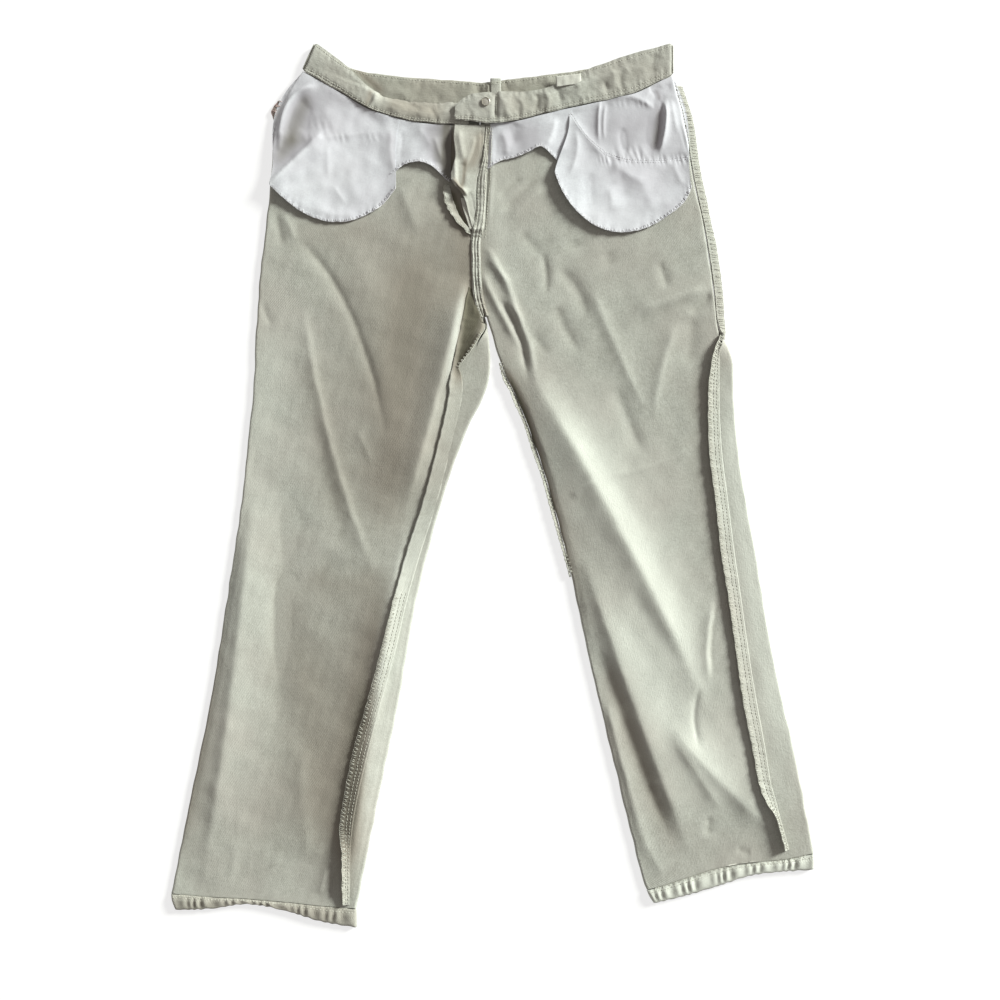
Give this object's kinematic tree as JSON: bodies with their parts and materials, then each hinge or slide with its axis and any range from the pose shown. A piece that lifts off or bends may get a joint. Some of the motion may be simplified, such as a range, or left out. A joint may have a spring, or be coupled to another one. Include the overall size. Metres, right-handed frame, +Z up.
{
  "type": "straight jeans, inside out, laid flat",
  "caption": "Straight-leg jeans turned inside out and laid flat, front up, with pocket bags, fly, seam allowances and turned hems showing.",
  "frame": {"origin": "on the floor, at the middle of the outline", "axes": "+Y from the hems to the waist, +X to the right seen from above, +Z up out of the front"},
  "size_m": [0.722, 0.992, 0.0159],
  "materials": {
    "twill": "sage grey cotton twill, wrong side, matt",
    "pocketing": "cool white plain-weave cotton, slightly creased",
    "tape": "pale woven zip tape",
    "tack": "pale worn metal",
    "tag": "pale woven ribbon, bare"
  },
  "bodies": {
    "root": {"front_left": "twill", "front_right": "twill", "back_left": "twill", "back_right": "twill", "waistband_left": "twill", "waistband_right": "twill", "waistband_back": "twill", "hem_front_left": "twill", "hem_back_left": "twill", "hem_front_right": "twill", "hem_back_right": "twill", "pocket_bag_left": "pocketing", "pocket_bag_right": "pocketing", "pocket_stay_left": "pocketing", "pocket_stay_right": "pocketing", "fly_shield": "twill", "fly_facing": "twill", "zip_tape": "tape", "rise_seam": "twill", "inseam_allowance_left": "twill", "outseam_allowance_right_lower": "twill", "outseam_allowance_right_upper": "twill", "inseam_allowance_right": "twill", "outseam_allowance_left": "twill", "button_tack": "tack", "size_tag": "tag", "belt_loop": "twill"}
  },
  "joints": []
}
